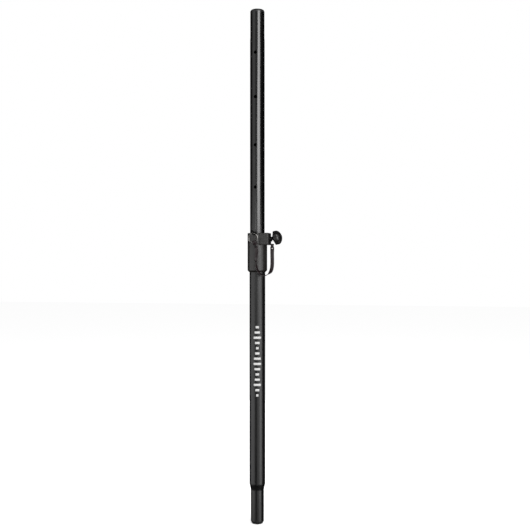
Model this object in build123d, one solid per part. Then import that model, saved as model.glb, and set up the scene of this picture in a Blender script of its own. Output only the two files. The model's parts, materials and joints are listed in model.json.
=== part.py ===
from build123d import *
import math
import os

# A telescoping speaker pole in millimetres. +Z is up the pole, and the origin is the centre of the
# bottom spigot's lower end. The clamp screw slopes up along +X and the lock pin points roughly
# along -Y.

os.makedirs("parts", exist_ok=True)

# Tubes: outside and bore radii
SPIGOT_R = 17.5
SPIGOT_BORE_R = 16.1
LOWER_R = 21.0
LOWER_BORE_R = 19.8
UPPER_R = 19.5
UPPER_BORE_R = 18.0
TOP_R = 19.0
TOP_BORE_R = 17.5

# Heights up the pole
SPIGOT_TOP_Z = 91.0
NECK_TOP_Z = 106.0
FOOT_Z = 598.0
UPPER_START_Z = 620.0
COLLAR_BOTTOM_Z = 671.0
LOWER_TOP_Z = 718.0
CLAMP_BOTTOM_Z = 743.0
SCREW_Z = 759.0
PIN_Z = 772.5
COLLAR_TOP_Z = 775.0
SIZED_START_Z = 1291.0
SIZED_FULL_Z = 1297.0
POLE_TOP_Z = 1372.0

# Fits
RUNNING = 0.05
NECK_ROUND = 14.0

# Lock pin holes in the upper tube: how far each stands above the pin
HOLE_RISES = (0.0, 124.5, 236.5, 364.5, 482.5)
HOLE_R = 4.5
PIN_R = 4.0
PIN_ANGLE = -94.0

# End plugs
SPIGOT_HEAD = 10.0
SPIGOT_HEAD_ROUND = 8.0
CAP_HEAD = 8.0
CAP_HEAD_ROUND = 5.5
PLUG_DEPTH = 28.0
PLUG_WALL = 3.0

# Collar and its squared clamp head
COLLAR_R = 26.15
COLLAR_CHAMFER = 4.6
LINER_R = 22.0
LINER_TOP_Z = 774.0
HEAD_X = (10.0, 35.6)
HEAD_Y = (-28.0, 10.0)
HEAD_ROUND = 1.6

# Dowel that keeps the liner from turning in the collar: radius, inner and outer ends, height
KEY_R = 1.5
KEY_REACH = (20.4, 24.4)
KEY_Z = 730.0

# Rivets that hold the collar on the lower tube
RIVET_Z = 692.0
RIVET_ANGLES = (50.0, 130.0)
RIVET_R = 2.4
RIVET_HEAD_R = 4.4
RIVET_SEAT_R = 25.0

# Clamp screw: it slopes up towards its knob, and crosses SCREW_Z at the clamp head's end face.
# Distances along it are counted so that the end face is at SCREW_FACE_X.
SCREW_TILT = 13.0
SCREW_FACE_X = 35.6
STUD_R = 4.0
SHOE_R = 6.5
SHOE_FRONT_X = 13.0
SHOE_BACK_X = 23.8
SHOE_SOCKET = 2.0
FACING = 0.8
NUT_X = (26.2, 32.7)
NUT_FLATS = 13.0
NUT_COVER_Y = 7.8
TAB_X = (35.6, 36.8)
SPACER_X = (36.8, 40.0)
SPACER_R = 6.5
STUD_GAP = 0.3
INSERT_R = 6.0
INSERT_X = (43.4, 56.0)
CAP_R = 5.0
CAP_THICK = 1.6

# Knob: a scalloped grip that widens from its hub to its rim, under a spherical crown
KNOB_X = 42.9
RIM_X = 47.4
KNOB_TOP_X = 67.5
HUB_R = 8.5
RIM_R = 19.3
CROWN_R = 23.0
SCALLOPS = 8
SCALLOP_R = 5.0
SCALLOP_DEPTH = 1.5

# Lanyard tab: an eye on the stud, a stem down the clamp head, and a hook bent out under the knob
TAB_R = 7.5
TAB_STEM_WIDTH = 8.0
HOOK_Z = (743.4, 744.6)
HOOK_END_X = 45.1
HOOK_WIDTH = 3.2
LIP_THICK = 1.0
LIP_TOP_Z = 745.8

# Lock pin, with distances measured outwards from the pole's axis
PIN_TIP = 20.2
PIN_BACK = 35.4
BAR_AT = 34.2
BAR_RISE = 3.2
BAR_R = 2.6
BAR_LENGTH = 18.0
BAR_TILT = 42.0
LUG_END = 42.6
LUG_THICK = 2.4
LUG_HEIGHT = 8.0
EYE_AT = 39.6
EYE_Z = 773.5
EYE_R = 1.75
RING_R = 12.3
RING_WIRE_R = 1.1

# Strap: the tube that stands for it, and its route from the tab to the ring
STRAP_TUBE_R = 2.2
STRAP_ROUTE = (
    (40.4, 0.0, 731.0),
    (40.4, 0.0, 717.6),
    (41.2, -1.8, 703.0),
    (41.6, -5.2, 689.0),
    (40.8, -10.0, 677.0),
    (37.2, -16.0, 668.4),
    (31.2, -21.6, 663.4),
    (24.0, -26.0, 661.6),
    (16.5, -29.2, 664.0),
    (10.4, -31.2, 670.5),
    (5.6, -32.4, 680.5),
    (2.9, -33.6, 693.0),
    (3.0, -35.2, 704.0),
    (4.4, -37.3, 713.5),
    (6.3, -39.2, 722.5),
    (7.07, -40.19, 730.85),
    (5.53, -40.08, 735.6),
)

# Folded strap ends, each a loop closed by a rivet: the depth of its fold, the width of its neck,
# the heights of its bottom and top, and the rivet's radius and its rise above the bottom. The ring's
# fold is swung round the ring by the strap's lean.
FOLD_WIDTH = 9.4
FOLD_THICK = 1.2
FOLD_TAIL = 5.0
TAB_FOLD = (5.8, 7.0, 731.0, 746.3, 1.6, 2.8)
RING_FOLD = (8.6, 9.4, 734.3, 752.4, 3.2, 4.2)
TAB_FOLD_X = STRAP_ROUTE[0][0]
FOLD_RIVET_STAND = 0.8
STRAP_LEAN = 18.0

# Upper tube's foot: plug, stem, screw and dowels
STEM_R = 9.0
PLUG_TOP_Z = 640.0
PLUG_PIN_Z = 630.0
PLUG_PIN_R = 2.0
SCREW_R = 3.0


def turned(points):
    """A solid of revolution about Z through (radius, height) points, closed back to the first."""
    outline = Polyline(*[(radius, 0, height) for radius, height in points], close=True)
    return revolve(make_face(outline), axis=Axis.Z)


def rod_x(radius, start, end, height=SCREW_Z):
    """A round bar along +X at the given height."""
    return Pos((start + end) / 2, 0, height) * Rot(0, 90, 0) * Cylinder(radius, end - start)


def on_screw(shape):
    """A shape built level at SCREW_Z, tipped up to the clamp screw's slope."""
    tipped = Rot(0, -SCREW_TILT, 0) * Pos(-SCREW_FACE_X, 0, -SCREW_Z) * shape
    return Pos(SCREW_FACE_X, 0, SCREW_Z) * tipped


def around(shape, angle):
    """The shape turned about the pole's axis."""
    return Rot(0, 0, angle) * shape


def save(shape, node):
    """Write one sub-part."""
    export_step(shape, f"parts/{node}.step")


def lower_tube():
    """The fixed tube: a plain upper length, swaged through a neck to the bottom spigot."""
    outside = turned(
        [
            (0, SPIGOT_HEAD),
            (SPIGOT_R, SPIGOT_HEAD),
            (SPIGOT_R, SPIGOT_TOP_Z),
            (LOWER_R, NECK_TOP_Z),
            (LOWER_R, LOWER_TOP_Z),
            (0, LOWER_TOP_Z),
        ]
    )
    neck = outside.edges().filter_by(GeomType.CIRCLE).filter_by_position(
        Axis.Z, SPIGOT_TOP_Z - 1, NECK_TOP_Z + 1
    )
    outside = fillet(neck, NECK_ROUND)
    inside = turned(
        [
            (0, SPIGOT_HEAD),
            (SPIGOT_BORE_R, SPIGOT_HEAD),
            (SPIGOT_BORE_R, SPIGOT_TOP_Z),
            (LOWER_BORE_R, NECK_TOP_Z),
            (LOWER_BORE_R, LOWER_TOP_Z),
            (0, LOWER_TOP_Z),
        ]
    )
    tube = outside - inside
    for angle in RIVET_ANGLES:
        tube -= around(rod_x(RIVET_R, LOWER_BORE_R - 3, LOWER_R + 3, RIVET_Z), angle)
    return tube


def end_plug(head_r, bore_r, head, rounding):
    """A hollow plug whose rounded head is at the bottom, at height 0, and points down."""
    plug = turned(
        [
            (0, 0),
            (head_r, 0),
            (head_r, head),
            (bore_r, head),
            (bore_r, PLUG_DEPTH),
            (bore_r - PLUG_WALL, PLUG_DEPTH),
            (bore_r - PLUG_WALL, head - PLUG_WALL),
            (0, head - PLUG_WALL),
        ]
    )
    return fillet(plug.edges().filter_by(GeomType.CIRCLE).sort_by(Axis.Z)[0], rounding)


def spigot_plug():
    """Rounded plug in the open end of the spigot."""
    return end_plug(SPIGOT_R, SPIGOT_BORE_R, SPIGOT_HEAD, SPIGOT_HEAD_ROUND)


def top_cap():
    """Rounded cap in the open end of the upper tube."""
    plug = end_plug(TOP_R, TOP_BORE_R, CAP_HEAD, CAP_HEAD_ROUND)
    return Pos(0, 0, POLE_TOP_Z) * Rot(180, 0, 0) * plug


def pin_notch():
    """The slot in the collar's rim that the lock pin lies in, open at the top."""
    radius = PIN_R + RUNNING
    length = 14.0
    middle = LOWER_BORE_R + length / 2 - 2
    rise = COLLAR_TOP_Z + 2 - PIN_Z
    bottom = Pos(middle, 0, PIN_Z) * Rot(0, 90, 0) * Cylinder(radius, length)
    mouth = Pos(middle, 0, PIN_Z + rise / 2) * Box(length, 2 * radius, rise)
    return around(bottom + mouth, PIN_ANGLE)


def shoe_hole():
    """The round window that the pressure shoe works in."""
    return on_screw(rod_x(SHOE_R + RUNNING, SHOE_FRONT_X, SHOE_BACK_X + 2.2))


def collar():
    """The moulded collar: a round sleeve with a squared clamp head on its +X side."""
    sleeve = turned(
        [
            (0, COLLAR_BOTTOM_Z),
            (COLLAR_R - COLLAR_CHAMFER, COLLAR_BOTTOM_Z),
            (COLLAR_R, COLLAR_BOTTOM_Z + COLLAR_CHAMFER),
            (COLLAR_R, COLLAR_TOP_Z - 0.8),
            (COLLAR_R - 0.8, COLLAR_TOP_Z),
            (0, COLLAR_TOP_Z),
        ]
    )
    head_size = (HEAD_X[1] - HEAD_X[0], HEAD_Y[1] - HEAD_Y[0], COLLAR_TOP_Z - CLAMP_BOTTOM_Z)
    head = Pos(
        (HEAD_X[0] + HEAD_X[1]) / 2,
        (HEAD_Y[0] + HEAD_Y[1]) / 2,
        (CLAMP_BOTTOM_Z + COLLAR_TOP_Z) / 2,
    ) * Box(*head_size)
    head = fillet(head.edges(), HEAD_ROUND)
    bore = turned(
        [
            (0, COLLAR_BOTTOM_Z - 1),
            (LOWER_R, COLLAR_BOTTOM_Z - 1),
            (LOWER_R, LOWER_TOP_Z),
            (LINER_R, LOWER_TOP_Z),
            (LINER_R, COLLAR_TOP_Z + 1),
            (0, COLLAR_TOP_Z + 1),
        ]
    )
    body = sleeve + head - bore
    body -= on_screw(rod_x(STUD_R + 2 * RUNNING, LINER_R - 3, HEAD_X[1] + 2))
    body -= shoe_hole()
    body -= nut_slot()
    body -= pin_notch()
    body -= liner_key()
    for angle in RIVET_ANGLES:
        body -= around(rod_x(RIVET_R, LOWER_BORE_R, COLLAR_R + 1, RIVET_Z), angle)
        body -= around(rod_x(RIVET_HEAD_R, RIVET_SEAT_R, COLLAR_R + 1, RIVET_Z), angle)
    return body


def nut_space(start_y, end_y):
    """A length of the nut's slot between two Y places."""
    place = Pos(sum(NUT_X) / 2, (start_y + end_y) / 2, SCREW_Z)
    return on_screw(place * Box(NUT_X[1] - NUT_X[0], end_y - start_y, NUT_FLATS))


def nut_slot():
    """The slot that the nut is pushed into from the back of the clamp head."""
    return nut_space(-NUT_FLATS / math.sqrt(3), HEAD_Y[1] + 1)


def clamp_nut():
    """The captive hexagon nut, two of its flats level."""
    thick = NUT_X[1] - NUT_X[0]
    hexagon = extrude(RegularPolygon(NUT_FLATS / 2, 6, major_radius=False), thick / 2, both=True)
    hexagon -= Cylinder(STUD_R + RUNNING, thick + 2)
    return on_screw(Pos(sum(NUT_X) / 2, 0, SCREW_Z) * Rot(0, 90, 0) * Rot(0, 0, 30) * hexagon)


def nut_cover():
    """The plug that closes the nut's slot, flush with the back of the clamp head."""
    return nut_space(NUT_COVER_Y, HEAD_Y[1])


def guide_liner():
    """The low-friction sleeve that the upper tube slides in."""
    liner = turned(
        [
            (UPPER_R + RUNNING, LOWER_TOP_Z),
            (LINER_R, LOWER_TOP_Z),
            (LINER_R, LINER_TOP_Z),
            (UPPER_R + RUNNING, LINER_TOP_Z),
        ]
    )
    return liner - shoe_hole() - pin_notch() - liner_key()


def liner_key():
    """The dowel at the back that keeps the liner from turning in the collar."""
    return around(rod_x(KEY_R, *KEY_REACH, KEY_Z), 90)


def collar_rivets():
    """Blind rivets through the collar's skirt and the lower tube."""
    rivet = rod_x(RIVET_R, LOWER_BORE_R, RIVET_SEAT_R, RIVET_Z)
    head = rod_x(RIVET_HEAD_R, RIVET_SEAT_R, COLLAR_R + 0.6, RIVET_Z)
    head = fillet(head.edges().filter_by(GeomType.CIRCLE).sort_by(Axis.X)[-1], 1.0)
    return Compound(children=[around(rivet + head, angle) for angle in RIVET_ANGLES])


def upper_tube():
    """The sliding tube, with pin holes through both walls and its top end sized down."""
    tube = turned(
        [
            (UPPER_BORE_R, UPPER_START_Z),
            (UPPER_R, UPPER_START_Z),
            (UPPER_R, SIZED_START_Z),
            (TOP_R, SIZED_FULL_Z),
            (TOP_R, POLE_TOP_Z - CAP_HEAD),
            (TOP_BORE_R, POLE_TOP_Z - CAP_HEAD),
            (TOP_BORE_R, SIZED_FULL_Z),
            (UPPER_BORE_R, SIZED_START_Z),
        ]
    )
    for rise in HOLE_RISES:
        drill = Pos(0, 0, PIN_Z + rise) * Rot(0, 90, 0) * Cylinder(HOLE_R, 2 * UPPER_R + 4)
        tube -= around(drill, PIN_ANGLE)
    return tube - foot_plug_pins()


def foot_bush():
    """The bush that guides the upper tube's foot, with a stem that the foot plug turns on."""
    bush = turned(
        [
            (0, FOOT_Z),
            (LOWER_BORE_R - 2, FOOT_Z),
            (LOWER_BORE_R - RUNNING, FOOT_Z + 2),
            (LOWER_BORE_R - RUNNING, UPPER_START_Z - RUNNING),
            (STEM_R, UPPER_START_Z - RUNNING),
            (STEM_R, PLUG_TOP_Z + RUNNING),
            (0, PLUG_TOP_Z + RUNNING),
        ]
    )
    return bush - Pos(0, 0, PLUG_TOP_Z - 10) * Cylinder(SCREW_R, 40)


def foot_plug():
    """The plug pressed into the upper tube's foot."""
    plug = turned(
        [
            (STEM_R + RUNNING, UPPER_START_Z),
            (UPPER_BORE_R, UPPER_START_Z),
            (UPPER_BORE_R, PLUG_TOP_Z),
            (STEM_R + RUNNING, PLUG_TOP_Z),
        ]
    )
    return plug - foot_plug_pins()


def foot_plug_pins():
    """Dowels through the upper tube's wall into its foot plug."""
    dowel = rod_x(PLUG_PIN_R, 13.0, UPPER_R - 0.2, PLUG_PIN_Z)
    return Compound(children=[around(dowel, angle) for angle in (0, 180)])


def foot_washer():
    """The washer that keeps the foot plug on the bush's stem."""
    bottom = PLUG_TOP_Z + RUNNING
    return turned([(SCREW_R, bottom), (14.0, bottom), (14.0, bottom + 2), (SCREW_R, bottom + 2)])


def foot_screw():
    """The screw that holds the washer on the bush's stem."""
    seat = PLUG_TOP_Z + RUNNING + 2
    screw = turned(
        [(0, 610.0), (SCREW_R, 610.0), (SCREW_R, seat), (6.0, seat), (6.0, seat + 3.5), (0, seat + 3.5)]
    )
    socket = extrude(RegularPolygon(2.5, 6, major_radius=False), 2.5)
    return screw - Pos(0, 0, seat + 1.5) * socket


def shoe_cut(gap):
    """The upper tube's outside, enlarged by a gap: it hollows the shoe and its facing."""
    return Pos(0, 0, SCREW_Z) * Cylinder(UPPER_R + gap, 40)


def pressure_shoe():
    """The pad holder that the clamp stud pushes."""
    shoe = on_screw(rod_x(SHOE_R, SHOE_FRONT_X, SHOE_BACK_X)) - shoe_cut(RUNNING + FACING)
    return shoe - on_screw(rod_x(STUD_R + RUNNING, SHOE_BACK_X - SHOE_SOCKET, SHOE_BACK_X + 1))


def shoe_facing():
    """The friction facing on the shoe, hollowed to the upper tube."""
    blank = on_screw(rod_x(SHOE_R, SHOE_FRONT_X, SHOE_BACK_X))
    return blank & (shoe_cut(RUNNING + FACING) - shoe_cut(RUNNING))


def clamp_stud():
    """The threaded stud from the shoe's socket to inside the knob, with a chamfered tip."""
    stud = rod_x(STUD_R, SHOE_BACK_X - SHOE_SOCKET + RUNNING, INSERT_X[1] - 2)
    return on_screw(chamfer(stud.edges().filter_by(GeomType.CIRCLE).sort_by(Axis.X)[0], 0.6))


def knob_outside():
    """The knob's hub, grip and crown, level at the screw's height."""
    crown_centre = KNOB_TOP_X - CROWN_R
    rim_end = crown_centre + math.sqrt(CROWN_R**2 - RIM_R**2)
    half_way = math.asin(RIM_R / CROWN_R) / 2
    crown_middle = (CROWN_R * math.sin(half_way), crown_centre + CROWN_R * math.cos(half_way))
    outline = [
        Line((0, KNOB_X), (HUB_R, KNOB_X)),
        Line((HUB_R, KNOB_X), (RIM_R, RIM_X)),
        Line((RIM_R, RIM_X), (RIM_R, rim_end)),
        ThreePointArc((RIM_R, rim_end), crown_middle, (0, KNOB_TOP_X)),
        Line((0, KNOB_TOP_X), (0, KNOB_X)),
    ]
    blank = revolve(Plane.XZ * make_face(Curve() + outline), axis=Axis.Z)
    for number in range(SCALLOPS):
        groove = Pos(RIM_R + SCALLOP_R - SCALLOP_DEPTH, 0, KNOB_TOP_X) * Cylinder(SCALLOP_R, KNOB_TOP_X)
        blank -= around(groove, 360 * number / SCALLOPS)
    return Pos(0, 0, SCREW_Z) * Rot(0, 90, 0) * blank


def grip_knob():
    """The moulded knob, hollowed for its insert, the stud's clearance and its cap."""
    knob = knob_outside() - rod_x(INSERT_R, *INSERT_X)
    knob -= rod_x(STUD_R, KNOB_X - 1, INSERT_X[0] + 1)
    return on_screw(knob - rod_x(CAP_R, KNOB_TOP_X - CAP_THICK, KNOB_TOP_X + 1))


def knob_insert():
    """The metal insert moulded into the knob, closed at its far end."""
    thread = rod_x(STUD_R, INSERT_X[0] - 1, INSERT_X[1] - 2)
    return on_screw(rod_x(INSERT_R, *INSERT_X) - thread)


def knob_cap():
    """The small disc pressed into the knob's crown."""
    return on_screw(rod_x(CAP_R, KNOB_TOP_X - CAP_THICK, KNOB_TOP_X - 0.2))


def screw_clearance():
    """The clearance round the stud through the tab and its sleeve."""
    return on_screw(rod_x(STUD_R + STUD_GAP, TAB_X[0] - 2, SPACER_X[1] + 2))


def tab_spacer():
    """The sleeve that keeps the lanyard tab against the clamp head."""
    return rod_x(SPACER_R, *SPACER_X) - screw_clearance()


def span_box(x_span, width, z_span):
    """A box between two X and two Z places, centred on Y = 0."""
    place = Pos(sum(x_span) / 2, 0, sum(z_span) / 2)
    return place * Box(x_span[1] - x_span[0], width, z_span[1] - z_span[0])


def lanyard_tab():
    """The bent steel tab on the stud, hooked under the knob to hold the strap's end."""
    stem = span_box(TAB_X, TAB_STEM_WIDTH, (HOOK_Z[0], SCREW_Z))
    stem = fillet(stem.edges().filter_by(Axis.X).group_by(Axis.Z)[0], 2.0)
    foot = span_box((TAB_X[0], HOOK_END_X), HOOK_WIDTH, HOOK_Z)
    lip = span_box((HOOK_END_X - LIP_THICK, HOOK_END_X), HOOK_WIDTH, (HOOK_Z[0], LIP_TOP_Z))
    return stem + foot + lip + rod_x(TAB_R, *TAB_X) - screw_clearance()


def bar_place():
    """Where the lock pin's cross bar lies: across the pin, its far end up."""
    return Pos(BAR_AT, 0, PIN_Z + BAR_RISE) * Rot(90 - BAR_TILT, 0, 0)


def lock_pin():
    """The pin's shank, drawn back just clear of the upper tube, with its eye lug."""
    shank = rod_x(PIN_R, PIN_TIP, PIN_BACK, PIN_Z)
    shank = chamfer(shank.edges().filter_by(GeomType.CIRCLE).sort_by(Axis.X)[0], 1.0)
    lug = Pos((PIN_BACK - 4 + LUG_END) / 2, 0, EYE_Z) * Box(LUG_END - PIN_BACK + 4, LUG_THICK, LUG_HEIGHT)
    lug = fillet(lug.edges().filter_by(Axis.Y).group_by(Axis.X)[-1], 2.8)
    eye = Pos(EYE_AT, 0, EYE_Z) * Rot(90, 0, 0) * Cylinder(EYE_R, LUG_THICK + 2)
    bar = bar_place() * Cylinder(BAR_R, BAR_LENGTH)
    return around(shank + lug - eye - bar, PIN_ANGLE)


def pin_crossbar():
    """The round cross bar pressed through the pin's outer end."""
    bar = Cylinder(BAR_R, BAR_LENGTH)
    bar = fillet(bar.edges().filter_by(GeomType.CIRCLE), 1.6)
    return around(bar_place() * bar, PIN_ANGLE)


def split_ring():
    """The wire ring through the pin's eye, hanging square to the pin."""
    ring = Pos(EYE_AT, 0, EYE_Z - RING_R) * Rot(0, 90, 0) * Torus(RING_R, RING_WIRE_R)
    return around(ring, PIN_ANGLE)


def strap_radii():
    """One bend radius for each corner of the strap's route, as large as its runs allow."""
    points = [Vector(*point) for point in STRAP_ROUTE]
    radii = []
    for before, corner, after in zip(points, points[1:], points[2:]):
        half_turn = math.radians((corner - before).get_angle(after - corner)) / 2
        shorter = min((corner - before).length, (after - corner).length)
        radii.append(0.45 * shorter / math.tan(half_turn))
    return radii


def lanyard_strap():
    """A plain tube along the strap's route between its two folded ends."""
    radii = strap_radii()
    path = FilletPolyline(*STRAP_ROUTE, radius=radii)
    section = Plane(origin=path @ 0, z_dir=path % 0) * Circle(STRAP_TUBE_R)
    tube = sweep(section, path)
    expected = math.pi * STRAP_TUBE_R**2 * path.length
    print("strap radii", [round(radius, 1) for radius in radii])
    print("strap length", round(path.length, 1), "volume share", round(tube.volume / expected, 4))
    return tube


def fold_rivet(fold):
    """The rivet that closes a folded end on the Z axis, along X, standing proud each side."""
    depth, _, bottom, _, radius, rise = fold
    half = depth / 2 + FOLD_RIVET_STAND
    return rod_x(radius, -half, half, bottom + rise)


def strap_fold(fold):
    """A folded end on the Z axis: a loop seen along Y, on a tail of the strap's full width."""
    depth, neck, bottom, top = fold[:4]
    place = Pos(0, 0, (bottom + top) / 2)
    band = place * Box(depth, neck, top - bottom)
    window = place * Box(depth - 2 * FOLD_THICK, neck + 2, top - bottom - 2 * FOLD_THICK)
    tail = Pos(0, 0, bottom + FOLD_TAIL / 2) * Box(depth, FOLD_WIDTH, FOLD_TAIL)
    return band - window + tail - fold_rivet(fold)


def on_tab(shape):
    """A shape on the Z axis moved under the lanyard tab, its fold across the clamp screw."""
    return Pos(TAB_FOLD_X, 0, 0) * Rot(0, 0, 90) * shape


def on_ring(shape):
    """A shape on the Z axis moved under the lock pin's eye and swung round the split ring."""
    centre = EYE_Z - RING_R
    swung = Pos(0, 0, centre) * Rot(STRAP_LEAN, 0, 0) * Pos(0, 0, -centre) * shape
    return around(Pos(EYE_AT, 0, 0) * swung, PIN_ANGLE)


save(lower_tube(), "lower_tube")
save(spigot_plug(), "spigot_plug")
save(collar(), "collar")
save(guide_liner(), "guide_liner")
save(liner_key(), "liner_key")
save(collar_rivets(), "collar_rivets")
save(clamp_nut(), "clamp_nut")
save(nut_cover(), "nut_cover")
save(tab_spacer(), "tab_spacer")
save(lanyard_tab(), "lanyard_tab")
save(lanyard_strap(), "lanyard_strap")
save(on_tab(strap_fold(TAB_FOLD)), "strap_fold_tab")
save(on_tab(fold_rivet(TAB_FOLD)), "strap_rivet_tab")
save(foot_bush(), "foot_bush")
save(foot_washer(), "foot_washer")
save(foot_screw(), "foot_screw")
save(upper_tube(), "upper_tube")
save(top_cap(), "top_cap")
save(foot_plug(), "foot_plug")
save(foot_plug_pins(), "foot_plug_pins")
save(pressure_shoe(), "pressure_shoe")
save(shoe_facing(), "shoe_facing")
save(clamp_stud(), "clamp_stud")
save(grip_knob(), "grip_knob")
save(knob_insert(), "knob_insert")
save(knob_cap(), "knob_cap")
save(lock_pin(), "lock_pin")
save(pin_crossbar(), "pin_crossbar")
save(split_ring(), "split_ring")
save(on_ring(strap_fold(RING_FOLD)), "strap_fold_ring")
save(on_ring(fold_rivet(RING_FOLD)), "strap_rivet_ring")
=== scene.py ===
import json
import math

import bmesh
import bpy
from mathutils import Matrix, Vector


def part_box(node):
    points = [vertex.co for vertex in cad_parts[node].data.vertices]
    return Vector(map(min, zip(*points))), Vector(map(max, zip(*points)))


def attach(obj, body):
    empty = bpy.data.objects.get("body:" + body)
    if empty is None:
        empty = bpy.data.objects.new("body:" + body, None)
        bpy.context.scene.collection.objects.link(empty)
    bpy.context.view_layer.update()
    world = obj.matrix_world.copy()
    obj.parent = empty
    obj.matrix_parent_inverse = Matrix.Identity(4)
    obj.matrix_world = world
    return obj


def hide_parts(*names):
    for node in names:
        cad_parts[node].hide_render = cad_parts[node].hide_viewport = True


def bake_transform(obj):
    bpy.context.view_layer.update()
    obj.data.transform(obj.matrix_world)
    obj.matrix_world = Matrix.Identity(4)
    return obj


# A telescoping speaker pole: a steel tube sliding in a second tube, a nylon clamp collar with a
# scalloped knob, and a lock pin on a strap. Metres, +Z up the pole, with the clamp screw sloping up
# along +X.

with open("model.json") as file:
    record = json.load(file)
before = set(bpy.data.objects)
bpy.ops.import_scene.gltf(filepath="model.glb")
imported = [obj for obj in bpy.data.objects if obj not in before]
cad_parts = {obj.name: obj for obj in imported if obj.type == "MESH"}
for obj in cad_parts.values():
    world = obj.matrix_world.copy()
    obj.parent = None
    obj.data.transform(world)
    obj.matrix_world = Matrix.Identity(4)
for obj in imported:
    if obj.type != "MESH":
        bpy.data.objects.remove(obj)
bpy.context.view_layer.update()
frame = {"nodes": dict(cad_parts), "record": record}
nodes = frame["nodes"]
scene = bpy.context.scene


# ---------------------------------------------------------------- places, read from the CAD frame

def middle(node):
    """The centre of a CAD node's box."""
    low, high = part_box(node)
    return (Vector(low) + Vector(high)) / 2


def half_size(node):
    """Half the size of a CAD node's box."""
    low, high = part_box(node)
    return (Vector(high) - Vector(low)) / 2


LOWER_R = half_size("lower_tube").x
KNOB_JOINT = next(j for j in frame["record"]["behaviour"]["joints"] if j["name"] == "knob_turn")
SCREW = Vector(KNOB_JOINT["axis"])
SCREW_FACE = Vector(KNOB_JOINT["pos_m"])
SCREW_FACE_X = SCREW_FACE.x
SCREW_SIDE = Vector((0, -1, 0))
SCREW_UP = Vector((-SCREW.z, 0, SCREW.x))
PIN_TURN = math.radians(-94)
OUT = Vector((math.cos(PIN_TURN), math.sin(PIN_TURN), 0))
ACROSS = Vector((-OUT.y, OUT.x, 0))
UP = Vector((0, 0, 1))
X_AXIS = Vector((1, 0, 0))
Y_AXIS = Vector((0, 1, 0))


def on_screw(along, turn=0.0, radius=0.0):
    """A point round the sloping clamp screw. `along` equals X where the screw leaves the head."""
    spoke = SCREW_UP * math.cos(turn) + SCREW_SIDE * math.sin(turn)
    return SCREW_FACE + SCREW * (along - SCREW_FACE_X) + spoke * radius


def screw_reach(node):
    """How far along the clamp screw a round node starts and ends, from its box."""
    low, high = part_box(node)
    radius = (high[1] - low[1]) / 2
    ends = (low[0] + radius * SCREW.z, high[0] - radius * SCREW.z)
    return [SCREW_FACE_X + (end - SCREW_FACE_X) / SCREW.x for end in ends]


# ---------------------------------------------------------------- camera

VIEW_TURN = math.radians(12)
VIEW_DISTANCE = 2.2
VIEW_RIGHT = 0.0204
VIEW_HEIGHT = 0.69
VIEW_WIDTH = 1.4185


def make_camera():
    """A level camera at the pole's mid height."""
    data = bpy.data.cameras.new("camera")
    camera = bpy.data.objects.new("camera", data)
    scene.collection.objects.link(camera)
    towards = Vector((math.sin(VIEW_TURN), -math.cos(VIEW_TURN), 0))
    right = Vector((math.cos(VIEW_TURN), math.sin(VIEW_TURN), 0))
    camera.location = towards * VIEW_DISTANCE + right * VIEW_RIGHT + UP * VIEW_HEIGHT
    camera.rotation_euler = (math.pi / 2, 0, VIEW_TURN)
    data.angle = 2 * math.atan(VIEW_WIDTH / 2 / VIEW_DISTANCE)
    data.clip_end = 50
    scene.camera = camera


make_camera()


# ---------------------------------------------------------------- mesh helpers

ROUND_SPOKES = 32


def piece(name, mesh, body):
    """A new object from a mesh, smooth shaded, that rides on a body."""
    obj = bpy.data.objects.new(name, mesh)
    scene.collection.objects.link(obj)
    for face in mesh.polygons:
        face.use_smooth = True
    if body:
        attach(obj, body)
    return obj


def grid_mesh(name, rows):
    """A skin over rows of points. Each row closes on itself, and the first and last are capped."""
    mesh = bpy.data.meshes.new(name)
    count = len(rows[0])
    points = [tuple(point) for row in rows for point in row]
    faces = []
    for a in range(0, len(points) - count, count):
        b = a + count
        for j in range(count):
            k = (j + 1) % count
            faces.append((a + j, a + k, b + k, b + j))
    faces.append(tuple(reversed(range(count))))
    faces.append(tuple(range(len(points) - count, len(points))))
    mesh.from_pydata(points, [], faces)
    mesh.update()
    repair = bmesh.new()
    repair.from_mesh(mesh)
    bmesh.ops.recalc_face_normals(repair, faces=repair.faces)
    repair.to_mesh(mesh)
    repair.free()
    return mesh


# ---------------------------------------------------------------- the strap

STRAP_WIDTH = 0.0102
STRAP_THICK = 0.0015
SECTION_POINTS = 16
SECTION_SQUARENESS = 0.35
STRAP_ROUTE = (
    (0.0404, 0.0, 0.731),
    (0.0404, 0.0, 0.7176),
    (0.0412, -0.0018, 0.703),
    (0.0416, -0.0052, 0.689),
    (0.0408, -0.01, 0.677),
    (0.0372, -0.016, 0.6684),
    (0.0312, -0.0216, 0.6634),
    (0.024, -0.026, 0.6616),
    (0.0165, -0.0292, 0.664),
    (0.0104, -0.0312, 0.6705),
    (0.0056, -0.0324, 0.6805),
    (0.0029, -0.0336, 0.693),
    (0.003, -0.0352, 0.704),
    (0.0044, -0.0373, 0.7135),
    (0.0063, -0.0392, 0.7225),
    (0.00707, -0.04019, 0.73085),
    (0.00553, -0.04008, 0.7356),
)

# Where along the strap, as shares of its length, it twists edge on and back again.
TWIST_FROM = 0.24
TWIST_OVER = 0.18
UNTWIST_BY = 0.84
UNTWIST_OVER = 0.2
EDGE_ON = Vector((-0.35, -1, 0)).normalized()

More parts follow.
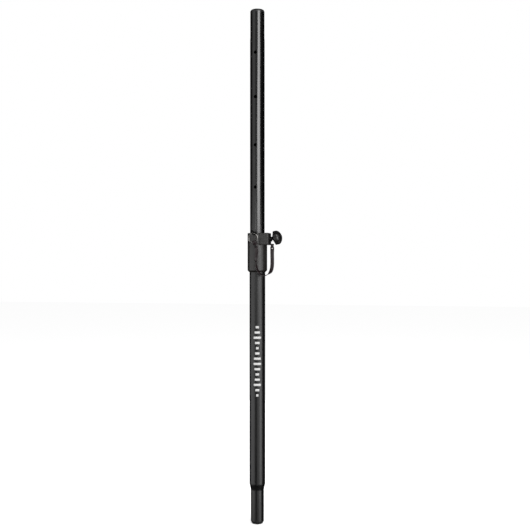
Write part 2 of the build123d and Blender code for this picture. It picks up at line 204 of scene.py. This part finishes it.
TAB_END = Vector(STRAP_ROUTE[0])
RING_END = Vector(STRAP_ROUTE[-1])
NECK_LOW = TAB_END.z + 0.0055
NECK_HIGH = TAB_END.z + 0.0095
NECK_SHARE = 0.72
TAB_FOLD_SHAPE = (
    (0.0, 0.0), (0.0006, 0.002), (0.0011, 0.006), (0.0021, 0.0105), (0.0024, 0.0134),
    (0.0014, 0.0148), (-0.0014, 0.0148), (-0.0024, 0.0134), (-0.0022, 0.0105),
    (-0.0014, 0.006), (-0.0017, 0.001), (-0.0019, -0.0055),
)
RING_FOLD_SHAPE = (
    (0.0, 0.0), (0.0008, 0.002), (0.0014, 0.0080), (0.0040, 0.0125), (0.0044, 0.0165),
    (0.0020, 0.0184), (-0.0020, 0.0184), (-0.0044, 0.0165), (-0.0040, 0.0125),
    (-0.0014, 0.0080), (-0.0016, 0.001), (-0.0021, -0.0045),
)
RING_FOLD_LEAN = math.radians(18)
RING_FOLD_WIDE = ACROSS * math.cos(RING_FOLD_LEAN) + UP * math.sin(RING_FOLD_LEAN)
RING_FOLD_RISE = UP * math.cos(RING_FOLD_LEAN) - ACROSS * math.sin(RING_FOLD_LEAN)

RIVET_DOME = ((0.0008, 0.0), (0.0007, 0.45), (0.0004, 0.82), (0.0, 1.0))
RIVET_EDGE = 0.0002
RIVET_SHANK_R = 0.0011
TAB_RIVET_RISE = 0.0028
TAB_RIVET_REACH = 0.0021
TAB_RIVET_R = 0.0019
RING_RIVET_RISE = 0.0042
RING_RIVET_REACH = 0.0024
RING_RIVET_R = 0.0033


def spline_points(route):
    """Points along the smooth line that has the route's points as its control points."""
    data = bpy.data.curves.new("route", "CURVE")
    data.dimensions = "3D"
    data.resolution_u = 12
    spline = data.splines.new("NURBS")
    spline.points.add(len(route) - 1)
    for point, place in zip(spline.points, route):
        point.co = (*place, 1)
    spline.order_u = 3
    spline.use_endpoint_u = True
    obj = bpy.data.objects.new("route", data)
    mesh = bpy.data.meshes.new_from_object(obj)
    points = [vertex.co.copy() for vertex in mesh.vertices]
    bpy.data.objects.remove(obj)
    return points


def strap_section(centre, wide, thick):
    """The strap's section: a flat oblong with rounded edges, as points round the centre."""
    section = []
    for step in range(SECTION_POINTS):
        turn = 2 * math.pi * step / SECTION_POINTS
        x, y = math.cos(turn), math.sin(turn)
        flat = math.copysign(abs(x) ** SECTION_SQUARENESS, x)
        section.append(centre + wide * (flat * STRAP_WIDTH / 2) + thick * (y * STRAP_THICK / 2))
    return section


def turned_width(along, share):
    """The strap's width direction: facing the viewer at both ends, edge on along the bottom."""
    twist = (share - TWIST_FROM) / TWIST_OVER
    untwist = (UNTWIST_BY - share) / UNTWIST_OVER
    ease = max(0.0, min(twist, untwist, 1.0))
    ease = ease * ease * (3 - 2 * ease)
    flat = X_AXIS.lerp(ACROSS, share)
    wide = flat * math.cos(ease * math.pi / 2) + EDGE_ON * math.sin(ease * math.pi / 2)
    return (wide - along * wide.dot(along)).normalized()


def make_strap():
    """The strap between its folded ends, twisting a quarter turn down and back."""
    points = spline_points(STRAP_ROUTE)
    rows = []
    last = len(points) - 1
    for i, point in enumerate(points):
        along = (points[min(i + 1, last)] - points[max(i - 1, 0)]).normalized()
        wide = turned_width(along, i / last)
        rows.append(strap_section(point, wide, along.cross(wide)))
    strap = piece("strap", grid_mesh("strap", rows), None)
    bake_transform(strap)
    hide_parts("lanyard_strap")
    return strap, points


def band(name, path, wide, widths, body):
    """A flat strap along a path of points, its width along one direction, scaled by `widths`."""
    rows = []
    last = len(path) - 1
    for i, point in enumerate(path):
        along = (path[min(i + 1, last)] - path[max(i - 1, 0)]).normalized()
        rows.append(strap_section(point, wide * widths(point.z), along.cross(wide)))
    return piece(name, grid_mesh(name, rows), body)


def full_width(height):
    """The whole strap's width at every height."""
    return 1.0


def necked(height):
    """The strap's share of its width at a height: narrow in the tab's hook, whole below it."""
    share = max(0.0, min(1.0, (height - NECK_LOW) / (NECK_HIGH - NECK_LOW)))
    return 1 + (NECK_SHARE - 1) * share * share * (3 - 2 * share)


def make_fold(name, centre, across, wide, widths, body, shape, node):
    """A folded strap end: a loop square to its width, then a tail beside the strap."""
    rise = wide.cross(across)
    rise = rise if rise.z > 0 else -rise
    route = [centre + across * x + rise * z for x, z in shape]
    loop = band(name, spline_points(route), wide, widths, body)
    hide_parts(node)
    return loop


def domed_rivet(name, centre, axis, reach, radius, body, node):
    """A rivet with a low domed head at each end of its shank."""
    profile = [(-reach - rise, share * radius) for rise, share in RIVET_DOME]
    profile += [(-reach + RIVET_EDGE, radius), (-reach + RIVET_EDGE, RIVET_SHANK_R)]
    profile += [(-x, across) for x, across in reversed(profile)]
    rivet = piece(name, lathe(name, centre, axis, profile, ROUND_SPOKES), body)
    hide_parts(node)
    return rivet


def lathe(name, centre, axis, profile, count):
    """A round skin about an axis through (distance along it, radius) points."""
    axis = Vector(axis).normalized()
    first = axis.orthogonal().normalized()
    second = axis.cross(first)
    rows = []
    for along, radius in profile:
        row = []
        for step in range(count):
            turn = 2 * math.pi * step / count
            spoke = first * math.cos(turn) + second * math.sin(turn)
            row.append(centre + axis * along + spoke * max(radius, 1e-5))
        rows.append(row)
    return grid_mesh(name, rows)


strap, strap_line = make_strap()
tab_fold = make_fold(
    "strap_end_tab", TAB_END, -Y_AXIS, X_AXIS, necked, "root", TAB_FOLD_SHAPE, "strap_fold_tab"
)
ring_fold = make_fold(
    "strap_end_ring", RING_END, OUT, RING_FOLD_WIDE, full_width, "pin", RING_FOLD_SHAPE,
    "strap_fold_ring"
)
tab_rivet = domed_rivet(
    "rivet_tab", TAB_END + UP * TAB_RIVET_RISE, -Y_AXIS, TAB_RIVET_REACH, TAB_RIVET_R, "root",
    "strap_rivet_tab"
)
ring_rivet = domed_rivet(
    "rivet_ring", RING_END + RING_FOLD_RISE * RING_RIVET_RISE, OUT, RING_RIVET_REACH, RING_RIVET_R,
    "pin", "strap_rivet_ring"
)


# ---------------------------------------------------------------- the split ring

def tube_along(name, points, radius, count=10):
    """A round wire along a path of points."""
    rows = []
    last = len(points) - 1
    side = (points[1] - points[0]).orthogonal().normalized()
    for i, point in enumerate(points):
        along = (points[min(i + 1, last)] - points[max(i - 1, 0)]).normalized()
        side = (side - along * side.dot(along)).normalized()
        other = along.cross(side)
        turns = [2 * math.pi * step / count for step in range(count)]
        rows.append([point + (side * math.cos(t) + other * math.sin(t)) * radius for t in turns])
    return grid_mesh(name, rows)


RING_WIRE_R = 0.00058
RING_TURNS = 2
RING_INSET = 0.0011
RING_STEPS_A_TURN = 64
RING_START = math.radians(200)


def make_ring():
    """A split ring: two close turns of wire about the lock pin's direction."""
    low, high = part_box("split_ring")
    centre = middle("split_ring")
    radius = (high[2] - low[2]) / 2 - RING_INSET
    steps = RING_STEPS_A_TURN * RING_TURNS
    points = []
    for step in range(steps + 1):
        share = step / steps
        turn = 2 * math.pi * RING_TURNS * share + RING_START
        spoke = ACROSS * math.cos(turn) + UP * math.sin(turn)
        drift = (share - 0.5) * 2 * RING_WIRE_R
        points.append(centre + spoke * radius + OUT * drift)
    ring = piece("ring_wire", tube_along("ring_wire", points, RING_WIRE_R), "ring")
    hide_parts("split_ring")
    return ring


ring_wire = make_ring()


# ---------------------------------------------------------------- the clamp stud and its knob

THREAD_PITCH = 0.00125
THREAD_DEPTH = 0.00062
THREAD_SPOKES = 28
THREAD_STEPS_A_TURN = 8
THREAD_FLANK = 2.4
THREAD_START_SHARE = 0.35


def make_stud():
    """The clamp stud with its rolled thread, pointed at its inner end."""
    start, end = screw_reach("clamp_stud")
    radius = half_size("clamp_stud").y
    rows = []
    steps = int((end - start) / THREAD_PITCH * THREAD_STEPS_A_TURN)
    for step in range(steps + 1):
        along = start + (end - start) * step / steps
        lead = min(1.0, (along - start) / (2 * THREAD_PITCH) + THREAD_START_SHARE)
        row = []
        for spoke in range(THREAD_SPOKES):
            turn = 2 * math.pi * spoke / THREAD_SPOKES
            phase = (along / THREAD_PITCH - spoke / THREAD_SPOKES) % 1
            groove = THREAD_DEPTH * max(0.0, 1 - abs(phase - 0.5) * THREAD_FLANK)
            row.append(on_screw(along, turn, (radius - groove) * lead))
        rows.append(row)
    stud = piece("threaded_stud", grid_mesh("threaded_stud", rows), "clamp_knob")
    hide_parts("clamp_stud")
    return stud


KNOB_BACK = 0.0429
KNOB_TOP = 0.0675
RIM_RISE = 0.0045
HUB_R = 0.0085
RIM_R = 0.0192
CROWN_R = 0.0230
SCALLOPS = 8
SCALLOP_DEPTH = 0.0016
SCALLOP_FROM = 0.6
SCALLOP_FADE = 0.7
SCALLOP_SHARPNESS = 1.6
EDGE_ROUND = 0.0008
BORE_R = 0.0052
HUB_CHAMFER = 0.0003
HUB_HOLLOW = 0.0009
KNOB_SPOKES = 160
CAP_PROFILE = (
    (-0.0012, 0.0040), (-0.0004, 0.0040), (-0.0001, 0.0037), (0.0002, 0.002), (0.0003, 0.0),
)


def knob_outline():
    """(distance along the screw, radius) points of the knob's side, without its scallops."""
    hub_start = KNOB_BACK + HUB_CHAMFER
    points = [(KNOB_BACK, BORE_R), (KNOB_BACK, HUB_R - EDGE_ROUND), (hub_start, HUB_R)]
    for step in range(1, 9):
        share = step / 8
        hollow = HUB_HOLLOW * math.sin(math.pi * share)
        radius = HUB_R + (RIM_R - HUB_R) * share - hollow
        points.append((hub_start + (RIM_RISE - HUB_CHAMFER) * share, radius))
    centre = KNOB_TOP - CROWN_R
    rim_end = centre + math.sqrt(CROWN_R**2 - RIM_R**2)
    rim_start = KNOB_BACK + RIM_RISE + EDGE_ROUND
    for step in range(9):
        points.append((rim_start + (rim_end - EDGE_ROUND - rim_start) * step / 8, RIM_R + 0.0001))
    for step in range(1, 25):
        turn = math.asin((RIM_R - 0.0003) / CROWN_R) * (1 - step / 24)
        points.append((centre + CROWN_R * math.cos(turn), CROWN_R * math.sin(turn)))
    return points


def make_knob():
    """The moulded grip: scalloped round its rim, hollowed behind, under a shallow crown."""
    rows = []
    for along, radius in knob_outline():
        reach = (radius - SCALLOP_FROM * RIM_R) / ((1 - SCALLOP_FROM) * RIM_R)
        bite = max(0.0, reach) ** SCALLOP_FADE
        row = []
        for step in range(KNOB_SPOKES):
            turn = 2 * math.pi * step / KNOB_SPOKES
            wave = 0.5 - 0.5 * math.cos(SCALLOPS * turn)
            dip = SCALLOP_DEPTH * bite * (1 - wave) ** SCALLOP_SHARPNESS
            row.append(on_screw(along, turn, radius - dip))
        rows.append(row)
    knob = piece("knob_body", grid_mesh("knob_body", rows), "clamp_knob")
    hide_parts("grip_knob")
    return knob


def make_knob_cap():
    """The small domed plug in the knob's crown."""
    mesh = lathe("crown_plug", on_screw(KNOB_TOP), SCREW, CAP_PROFILE, ROUND_SPOKES)
    cap = piece("crown_plug", mesh, "clamp_knob")
    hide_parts("knob_cap")
    return cap


stud = make_stud()
knob = make_knob()
crown_plug = make_knob_cap()


# ---------------------------------------------------------------- printed mark on the lower tube

MARK_TURN = math.radians(-78)
MARK_TOP = 0.528
MARK_BARS_MM = (9, 15, 21, 13, 7, 12, 19, 21, 16, 10, 14, 20, 11, 6)
MARK_PITCH = 0.0139
MARK_BAR = 0.0062
MARK_CORNER = 0.0007
MARK_LIFT = 0.00008
MARK_THICK = 0.00006
MARK_STEPS = 14


def make_mark():
    """A column of plain printed bars that hugs the tube, like the bars of a level meter."""
    mesh = bpy.data.meshes.new("printed_bars")
    points, faces = [], []
    radius = LOWER_R + MARK_LIFT
    for number, length in enumerate(MARK_BARS_MM):
        top = MARK_TOP - number * MARK_PITCH
        half_turn = length / 2000 / radius
        start = len(points)
        for step in range(MARK_STEPS + 1):
            turn = MARK_TURN - half_turn + 2 * half_turn * step / MARK_STEPS
            spoke = Vector((math.cos(turn), math.sin(turn), 0)) * radius
            inset = MARK_CORNER if step in (0, MARK_STEPS) else 0.0
            for height in (top - inset, top - MARK_BAR + inset):
                points.append(tuple(spoke + UP * height))
        for step in range(MARK_STEPS):
            a = start + 2 * step
            faces.append((a, a + 1, a + 3, a + 2))
    mesh.from_pydata(points, [], faces)
    mesh.update()
    mark = piece("printed_bars", mesh, "root")
    thick = mark.modifiers.new("thick", "SOLIDIFY")
    thick.thickness = MARK_THICK
    thick.offset = -1
    return mark


mark = make_mark()


# ---------------------------------------------------------------- materials

class Finish:
    """A Principled material being made, with short ways to give it texture in object space."""

    def __init__(self, name, colour, rough, metallic=0.0, specular=0.5):
        self.material = bpy.data.materials.new(name)
        self.material.use_nodes = True
        self.tree = self.material.node_tree
        self.shader = self.tree.nodes["Principled BSDF"]
        self.place = self.node("ShaderNodeTexCoord").outputs["Object"]
        self.set_input("Base Color", (*colour, 1))
        self.set_input("Roughness", rough)
        self.set_input("Metallic", metallic)
        self.set_input("Specular IOR Level", specular)
        self.colour = (*colour, 1)
        self.rough = rough
        self.normal = None

    def node(self, kind, **values):
        """A new node, with its properties set."""
        made = self.tree.nodes.new(kind)
        for key, value in values.items():
            setattr(made, key, value)
        return made

    def set_input(self, name, value):
        """Sets one of the shader's inputs, to a value or to another node's output."""
        if isinstance(value, bpy.types.NodeSocket):
            self.tree.links.new(value, self.shader.inputs[name])
        else:
            self.shader.inputs[name].default_value = value

    def link(self, value, socket):
        """Feeds a value or an output to a node's input."""
        if isinstance(value, bpy.types.NodeSocket):
            self.tree.links.new(value, socket)
        else:
            socket.default_value = value

    def stretched(self, stretch):
        """Object coordinates, scaled along each axis."""
        scale = self.node("ShaderNodeVectorMath", operation="MULTIPLY")
        self.link(self.place, scale.inputs[0])
        scale.inputs[1].default_value = stretch
        return scale.outputs[0]

    def noise(self, size, detail=3.0, stretch=(1, 1, 1), low=0.35, high=0.65, rough=0.55):
        """Noise of a feature size in metres, spread over 0 to 1."""
        texture = self.node("ShaderNodeTexNoise")
        self.link(self.stretched(stretch), texture.inputs["Vector"])
        texture.inputs["Scale"].default_value = 1 / size
        texture.inputs["Detail"].default_value = detail
        texture.inputs["Roughness"].default_value = rough
        return self.spread(texture.outputs["Fac"], low, high, 0.0, 1.0)

    def spread(self, value, low, high, to_low, to_high):
        """A value mapped from one range to another, and held inside it."""
        remap = self.node("ShaderNodeMapRange")
        self.link(value, remap.inputs["Value"])
        limits = (("From Min", low), ("From Max", high), ("To Min", to_low), ("To Max", to_high))
        for name, limit in limits:
            remap.inputs[name].default_value = limit
        return remap.outputs["Result"]

    def maths(self, operation, first, second):
        """Two values combined."""
        step = self.node("ShaderNodeMath", operation=operation)
        self.link(first, step.inputs[0])
        self.link(second, step.inputs[1])
        return step.outputs[0]

    def tint(self, mask, colour):
        """Mixes a colour in where the mask is 1."""
        mix = self.node("ShaderNodeMix", data_type="RGBA")
        self.link(mask, mix.inputs["Factor"])
        self.link(self.colour, mix.inputs["A"])
        self.link((*colour, 1), mix.inputs["B"])
        self.colour = mix.outputs["Result"]
        self.set_input("Base Color", self.colour)
        return self

    def roughen(self, mask, rough):
        """Moves the roughness to another value where the mask is 1."""
        mix = self.node("ShaderNodeMix", data_type="FLOAT")
        self.link(mask, mix.inputs["Factor"])
        self.link(self.rough, mix.inputs["A"])
        self.link(rough, mix.inputs["B"])
        self.rough = mix.outputs["Result"]
        self.set_input("Roughness", self.rough)
        return self

    def bump(self, height, distance, strength=1.0):
        """Adds relief of a depth in metres."""
        relief = self.node("ShaderNodeBump")
        relief.inputs["Distance"].default_value = distance
        relief.inputs["Strength"].default_value = strength
        self.link(height, relief.inputs["Height"])
        if self.normal is not None:
            self.link(self.normal, relief.inputs["Normal"])
        self.normal = relief.outputs["Normal"]
        self.set_input("Normal", self.normal)
        return self

    def edges(self, width):
        """A mask that is 1 along convex and concave edges, from a rounded normal."""
        rounded = self.node("ShaderNodeBevel", samples=4)
        rounded.inputs["Radius"].default_value = width
        plain = self.node("ShaderNodeNewGeometry")
        dot = self.node("ShaderNodeVectorMath", operation="DOT_PRODUCT")
        self.link(rounded.outputs["Normal"], dot.inputs[0])
        self.link(plain.outputs["Normal"], dot.inputs[1])
        return self.spread(dot.outputs["Value"], 0.995, 0.9, 0.0, 1.0)

    def specks(self, size, amount):
        """Scattered small dots, 1 inside them."""
        cells = self.node("ShaderNodeTexVoronoi")
        self.link(self.place, cells.inputs["Vector"])
        cells.inputs["Scale"].default_value = 1 / size
        return self.spread(cells.outputs["Distance"], amount, amount * 0.6, 0.0, 1.0)


def lower_paint():
    """Satin black powder coat with a fine orange peel and a few rubbed patches."""
    finish = Finish("lower_paint", (0.0014, 0.0013, 0.0015), 0.30, specular=0.55)
    finish.bump(finish.noise(0.0011, 2.0), 0.000012, 0.4)
    finish.bump(finish.noise(0.02, 2.0, (1, 1, 0.25)), 0.00004, 0.1)
    finish.roughen(finish.noise(0.035, 4.0, (1, 1, 0.3)), 0.36)
    scuffs = finish.noise(0.0012, 3.0, (1, 1, 0.03), 0.66, 0.74)
    patches = finish.noise(0.06, 3.0, (1, 1, 0.4), 0.52, 0.66)
    rubbed = finish.maths("MULTIPLY", scuffs, patches)
    finish.tint(rubbed, (0.02, 0.02, 0.021)).roughen(rubbed, 0.3)
    dust = finish.specks(0.0045, 0.09)
    finish.tint(finish.maths("MULTIPLY", dust, 0.2), (0.08, 0.08, 0.08))
    return finish.material


def upper_paint():
    """Semi-gloss black paint with fine marks along the tube where it slides in the collar."""
    finish = Finish("upper_paint", (0.0008, 0.0008, 0.0009), 0.19, specular=0.6)
    finish.bump(finish.noise(0.0008, 2.0), 0.000006, 0.35)
    finish.bump(finish.noise(0.016, 2.0, (1, 1, 0.3)), 0.00003, 0.08)
    finish.roughen(finish.noise(0.05, 4.0, (1, 1, 0.35)), 0.24)
    draws = finish.noise(0.0007, 3.0, (1, 1, 0.012), 0.6, 0.72)
    patches = finish.noise(0.08, 3.0, (1, 1, 0.5), 0.45, 0.62)
    worn = finish.maths("MULTIPLY", draws, patches)
    finish.tint(worn, (0.03, 0.029, 0.027)).roughen(worn, 0.4)
    finish.bump(draws, 0.00001, 0.3)
    dust = finish.specks(0.005, 0.08)
    finish.tint(finish.maths("MULTIPLY", dust, 0.15), (0.08, 0.08, 0.08))
    return finish.material


def moulded(name, colour, rough, grain=0.0006, pale=(0.05, 0.048, 0.045), specular=0.5):
    """Moulded plastic with a fine spark-eroded grain, flow marks, and edges rubbed paler."""
    finish = Finish(name, colour, rough, specular=specular)
    finish.bump(finish.noise(grain, 2.0), 0.00004, 0.5)
    finish.bump(finish.noise(0.012, 2.0), 0.00008, 0.25)
    flow = finish.noise(0.02, 4.0, (1, 1, 0.5))
    finish.roughen(flow, rough + 0.08)
    finish.tint(finish.maths("MULTIPLY", flow, 0.35), pale)
    edge = finish.edges(0.0009)
    chafed = finish.maths("MULTIPLY", edge, finish.noise(0.003, 3.0, low=0.3, high=0.75))
    finish.tint(chafed, pale).roughen(chafed, rough - 0.08)
    return finish.material


def plated(name, colour, rough, brushing=(1, 1, 1)):
    """Plated steel with fine brushing, small stains and dulled spots."""
    finish = Finish(name, colour, rough, metallic=1.0)
    lines = finish.noise(0.0003, 3.0, brushing)
    finish.bump(lines, 0.000008, 0.5)
    finish.roughen(lines, rough + 0.08)
    stain = finish.noise(0.004, 4.0, low=0.5, high=0.72)
    finish.tint(finish.maths("MULTIPLY", stain, 0.5), tuple(0.6 * part for part in colour))
    finish.roughen(stain, rough + 0.18)
    return finish.material


def black_oxide():
    """Blackened steel, glossy, rubbed to metal along its edges."""
    finish = Finish("black_oxide", (0.0012, 0.0012, 0.0012), 0.3, specular=0.3)
    finish.bump(finish.noise(0.0006, 3.0), 0.00001, 0.4)
    finish.roughen(finish.noise(0.004, 3.0), 0.4)
    edge = finish.edges(0.0005)
    finish.tint(finish.maths("MULTIPLY", edge, 0.4), (0.02, 0.019, 0.018))
    return finish.material


def pin_black():
    """Dull phosphated steel, almost black, with a fine crystalline tooth."""
    finish = Finish("pin_black", (0.0008, 0.0008, 0.0008), 0.5, specular=0.12)
    finish.bump(finish.noise(0.0005, 3.0), 0.00001, 0.4)
    finish.roughen(finish.noise(0.003, 3.0), 0.6)
    edge = finish.edges(0.0004)
    finish.tint(finish.maths("MULTIPLY", edge, 0.3), (0.01, 0.01, 0.01))
    return finish.material


def strap_skin():
    """Soft black strap: a fine leathery grain with a maroon cast and paler worn edges."""
    finish = Finish("strap_skin", (0.0060, 0.0022, 0.0030), 0.42, specular=0.5)
    cells = finish.node("ShaderNodeTexVoronoi")
    finish.link(finish.place, cells.inputs["Vector"])
    cells.inputs["Scale"].default_value = 1 / 0.0007
    finish.bump(cells.outputs["Distance"], 0.00006, 0.6)
    finish.bump(finish.noise(0.004, 3.0), 0.0001, 0.4)
    finish.roughen(finish.noise(0.006, 3.0), 0.38)
    edge = finish.edges(0.0006)
    finish.tint(finish.maths("MULTIPLY", edge, 0.5), (0.025, 0.014, 0.015))
    return finish.material


def printed_white():
    """Screen printed white ink, slightly worn through."""
    finish = Finish("printed_white", (0.33, 0.33, 0.325), 0.45)
    worn = finish.noise(0.0016, 4.0, (1, 1, 0.6), 0.6, 0.72)
    finish.tint(worn, (0.12, 0.12, 0.12))
    finish.bump(finish.noise(0.0009, 2.0), 0.00001, 0.4)
    return finish.material


def friction_pad():
    """Dark friction facing with coarse fibres."""
    finish = Finish("friction_pad", (0.05, 0.042, 0.036), 0.85)
    finish.tint(finish.noise(0.0009, 4.0), (0.1, 0.085, 0.07))
    finish.bump(finish.noise(0.0006, 4.0), 0.0001, 0.7)
    return finish.material


PAINT_LOWER = lower_paint()
PAINT_UPPER = upper_paint()
NYLON = moulded("collar_nylon", (0.0050, 0.0045, 0.0040), 0.27, pale=(0.012, 0.0108, 0.0098))
PLUG = moulded("plug_plastic", (0.003, 0.003, 0.003), 0.36, pale=(0.012, 0.012, 0.012))
KNOB = moulded("knob_plastic", (0.0022, 0.0020, 0.0019), 0.30, 0.0009, (0.012, 0.0115, 0.011))
SLICK = moulded("guide_nylon", (0.02, 0.02, 0.02), 0.36, pale=(0.04, 0.04, 0.04))
ZINC = plated("zinc", (0.62, 0.61, 0.58), 0.28, (1, 1, 0.1))
NICKEL = plated("nickel", (0.42, 0.41, 0.39), 0.24)
BRASS = plated("brass", (0.72, 0.52, 0.24), 0.25, (0.1, 1, 1))
OXIDE = black_oxide()
PIN_BLACK = pin_black()
STRAP = strap_skin()
INK = printed_white()
PAD = friction_pad()

NODE_FINISHES = {
    "lower_tube": PAINT_LOWER, "upper_tube": PAINT_UPPER, "spigot_plug": PLUG, "top_cap": PLUG,
    "collar": NYLON, "nut_cover": NYLON, "guide_liner": SLICK, "liner_key": ZINC,
    "collar_rivets": OXIDE, "clamp_nut": ZINC, "tab_spacer": OXIDE, "lanyard_tab": OXIDE,
    "foot_bush": SLICK, "foot_washer": ZINC, "foot_screw": ZINC, "foot_plug": PLUG,
    "foot_plug_pins": ZINC, "pressure_shoe": SLICK, "shoe_facing": PAD, "knob_insert": BRASS,
    "lock_pin": OXIDE, "pin_crossbar": PIN_BLACK,
}
PIECE_FINISHES = (
    (strap, STRAP, "strap"), (tab_fold, STRAP, "strap"), (ring_fold, STRAP, "strap"),
    (tab_rivet, NICKEL, "plated_steel"), (ring_rivet, OXIDE, "black_steel"),
    (ring_wire, NICKEL, "bright_wire"), (stud, OXIDE, "black_steel"),
    (knob, KNOB, "knob_plastic"), (crown_plug, KNOB, "knob_plastic"), (mark, INK, None),
)


def paint_everything():
    """Gives each CAD node and each piece its finish."""
    for name, finish in NODE_FINISHES.items():
        mesh = nodes[name].data
        mesh.materials.clear()
        mesh.materials.append(finish)
    for obj, finish, slot in PIECE_FINISHES:
        obj.data.materials.append(finish)


paint_everything()


# ---------------------------------------------------------------- floor, light and surroundings

FLOOR_REACH = 12.0
FLOOR_DROP = 0.0005
LIGHT_DISTANCE = 2.0
REFLECTED_GLOW = 0.004
HIGH = (0.84, 3.0)
LOW = (-0.7, 0.84)
# Each light's name, the angles it fills from the camera's line, its heights and its brightness.
LIGHTS = (
    ("upper_key", (8, 41), HIGH, 7.9),
    ("upper_fill", (-76, -36), HIGH, 0.5),
    ("upper_wash", (-96, -7), HIGH, 0.35),
    ("lower_key", (36, 68), LOW, 3.1),
    ("lower_front", (-4, 36), LOW, 1.0),
    ("lower_fill", (-106, -36), LOW, 1.5),
    ("head_front", (-36, -10), (0.76, 0.9), 5.0),
    ("back", (169, 191), (-0.7, 2.2), 0.8),
)


def make_floor():
    """A plain pale floor just under the pole."""
    mesh = bpy.data.meshes.new("floor")
    corners = [(-1, -1), (1, -1), (1, 1), (-1, 1)]
    points = [(x * FLOOR_REACH, y * FLOOR_REACH, -FLOOR_DROP) for x, y in corners]
    mesh.from_pydata(points, [], [(0, 1, 2, 3)])
    floor = bpy.data.objects.new("floor", mesh)
    scene.collection.objects.link(floor)
    finish = Finish("pale_floor", (0.97, 0.97, 0.97), 0.8, specular=0.0)
    finish.bump(finish.noise(0.05, 3.0), 0.0002, 0.1)
    mesh.materials.append(finish.material)
    floor.visible_glossy = False
    floor.visible_shadow = False


def soft_box(name, turns, heights, glow):
    """An upright soft light over a span of angles from the camera's line."""
    half = math.radians(turns[1] - turns[0]) / 2
    angle = VIEW_TURN + math.radians(turns[0] + turns[1]) / 2
    data = bpy.data.lights.new(name, "AREA")
    data.shape = "RECTANGLE"
    data.size = 2 * LIGHT_DISTANCE * math.tan(half)
    data.size_y = heights[1] - heights[0]
    data.energy = glow * math.pi * data.size * data.size_y
    light = bpy.data.objects.new(name, data)
    light.visible_camera = False
    scene.collection.objects.link(light)
    towards = Vector((math.sin(angle), -math.cos(angle), 0))
    light.location = towards * LIGHT_DISTANCE + UP * (heights[0] + heights[1]) / 2
    light.rotation_euler = (-towards).to_track_quat("-Z", "Y").to_euler()


def make_surroundings():
    """White to the eye; dim where only reflections see it."""
    world = bpy.data.worlds.new("surroundings")
    scene.world = world
    world.use_nodes = True
    tree = world.node_tree
    tree.nodes.clear()
    path = tree.nodes.new("ShaderNodeLightPath")
    seen = tree.nodes.new("ShaderNodeMath")
    seen.operation = "MAXIMUM"
    tree.links.new(path.outputs["Is Camera Ray"], seen.inputs[0])
    tree.links.new(path.outputs["Is Diffuse Ray"], seen.inputs[1])
    light = tree.nodes.new("ShaderNodeMapRange")
    light.inputs["To Min"].default_value = REFLECTED_GLOW
    light.inputs["To Max"].default_value = 1.0
    tree.links.new(seen.outputs[0], light.inputs["Value"])
    background = tree.nodes.new("ShaderNodeBackground")
    background.inputs["Color"].default_value = (1, 1, 1, 1)
    tree.links.new(light.outputs["Result"], background.inputs["Strength"])
    output = tree.nodes.new("ShaderNodeOutputWorld")
    tree.links.new(background.outputs[0], output.inputs["Surface"])


make_floor()
make_surroundings()
for light_row in LIGHTS:
    soft_box(*light_row)
scene.view_settings.view_transform = "Standard"
